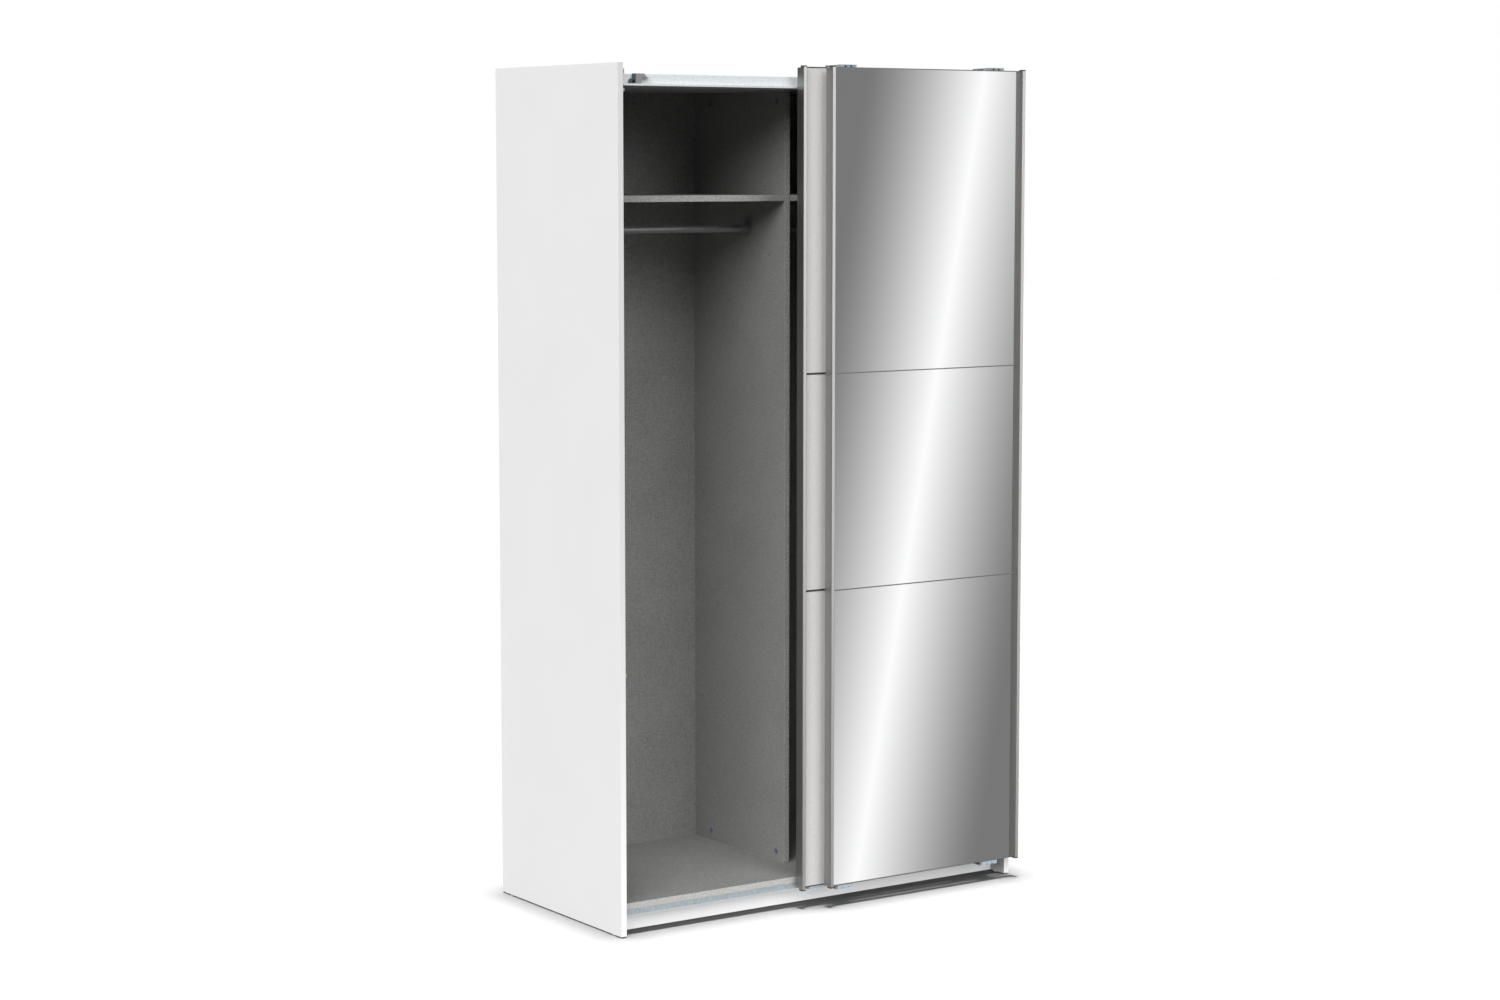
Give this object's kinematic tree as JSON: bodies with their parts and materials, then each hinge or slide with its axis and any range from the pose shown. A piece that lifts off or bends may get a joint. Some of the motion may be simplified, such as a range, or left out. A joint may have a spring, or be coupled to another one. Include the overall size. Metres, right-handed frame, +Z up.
{
  "type": "sliding door wardrobe",
  "caption": "Tall board wardrobe with a mirrored outer and a plain inner sliding door hung on a steel top track, divided inside by an upright, with shelves and hanging rails.",
  "frame": {"origin": "on the floor, midway across the width, and midway between the outer door's front and the back sheets", "axes": "+Z up; facing the doors, +X to the right and +Y to the back"},
  "size_m": [1.165, 0.599, 2.0355],
  "materials": {
    "white_board": "white melamine-faced board, linen decor on the inner faces",
    "decor_board": "melamine-faced board with a pale linen decor",
    "hardboard": "thin printed hardboard",
    "beech": "plain beech",
    "galvanised": "galvanised, spangled",
    "zinc": "zinc plated",
    "rail_chrome": "bright chrome tube",
    "satin_aluminium": "satin anodised",
    "mirror_glass": "silvered glass",
    "strip_light": "satin anodised strip",
    "strip_dark": "dark anodised strip",
    "cap_plastic": "dark brown-grey plastic",
    "stop_plastic": "grey moulded plastic",
    "pale_plastic": "light grey moulded plastic",
    "nylon": "natural nylon",
    "buffer_rubber": "blue-grey rubber"
  },
  "bodies": {
    "carcass": {"side_panel_left": "white_board", "side_panel_right": "white_board", "top_panel": "decor_board", "bottom_panel": "decor_board", "divider": "decor_board", "shelf_left": "decor_board", "shelf_right": "decor_board", "front_plinth": "white_board", "rear_plinth": "decor_board", "plinth_cross_rail": "decor_board", "back_sheet_left": "hardboard", "back_sheet_right": "hardboard", "back_sheet_nails": "zinc", "hanging_rail_left": "rail_chrome", "hanging_rail_right": "rail_chrome", "rail_sockets": "zinc", "wood_screws": "zinc", "shelf_pins": "zinc", "cam_locks": "zinc", "cam_bolts": "zinc", "wood_dowels": "beech", "foot_glides": "pale_plastic", "wall_brackets": "galvanised", "top_track": "galvanised", "guide_rail": "galvanised", "guide_rail_rivets": "galvanised", "end_stops": "stop_plastic", "stop_buffers": "buffer_rubber", "stop_leaves": "zinc", "side_bumpers": "pale_plastic"},
    "outer_door": {"outer_mirror_bottom": "mirror_glass", "outer_mirror_middle": "mirror_glass", "outer_mirror_top": "mirror_glass", "outer_backing_boards": "white_board", "outer_stile_left": "satin_aluminium", "outer_stile_right": "satin_aluminium", "outer_cross_strips": "strip_light", "outer_stile_caps": "cap_plastic", "outer_top_brackets": "galvanised", "outer_bottom_brackets": "galvanised", "outer_pins": "zinc", "outer_guides": "nylon", "outer_bracket_screws": "zinc"},
    "inner_door": {"inner_panel_bottom": "white_board", "inner_panel_middle": "white_board", "inner_panel_top": "white_board", "inner_stile_left": "satin_aluminium", "inner_stile_right": "satin_aluminium", "inner_cross_strips": "strip_dark", "inner_stile_caps": "cap_plastic", "inner_top_brackets": "galvanised", "inner_bottom_brackets": "galvanised", "inner_pins": "zinc", "inner_guides": "nylon", "inner_bracket_screws": "zinc"},
    "outer_wheel_left": {"outer_wheel_left": "nylon"},
    "outer_wheel_right": {"outer_wheel_right": "nylon"},
    "inner_wheel_left": {"inner_wheel_left": "nylon"},
    "inner_wheel_right": {"inner_wheel_right": "nylon"}
  },
  "joints": [
    {"name": "outer_slide", "type": "slide", "parent": "carcass", "child": "outer_door", "axis": [1, 0, 0], "range_m": [-0.571, 0]},
    {"name": "inner_slide", "type": "slide", "parent": "carcass", "child": "inner_door", "axis": [1, 0, 0], "range_m": [-0.4892, 0]},
    {"name": "outer_wheel_left_spin", "type": "hinge", "parent": "outer_door", "child": "outer_wheel_left", "pos_m": [0.059, -0.211, 2.0143], "axis": [0, 1, 0], "continuous": true},
    {"name": "outer_wheel_right_spin", "type": "hinge", "parent": "outer_door", "child": "outer_wheel_right", "pos_m": [0.51, -0.211, 2.0143], "axis": [0, 1, 0], "continuous": true},
    {"name": "inner_wheel_left_spin", "type": "hinge", "parent": "inner_door", "child": "inner_wheel_left", "pos_m": [-0.004, -0.22675, 1.9883], "axis": [0, 1, 0], "continuous": true},
    {"name": "inner_wheel_right_spin", "type": "hinge", "parent": "inner_door", "child": "inner_wheel_right", "pos_m": [0.447, -0.22675, 1.9883], "axis": [0, 1, 0], "continuous": true}
  ],
  "couplings": [
    {"joint": "outer_wheel_left_spin", "follows": "outer_slide", "rad_per_m": 111.11},
    {"joint": "outer_wheel_right_spin", "follows": "outer_slide", "rad_per_m": 111.11},
    {"joint": "inner_wheel_left_spin", "follows": "inner_slide", "rad_per_m": 133.33},
    {"joint": "inner_wheel_right_spin", "follows": "inner_slide", "rad_per_m": 133.33}
  ]
}
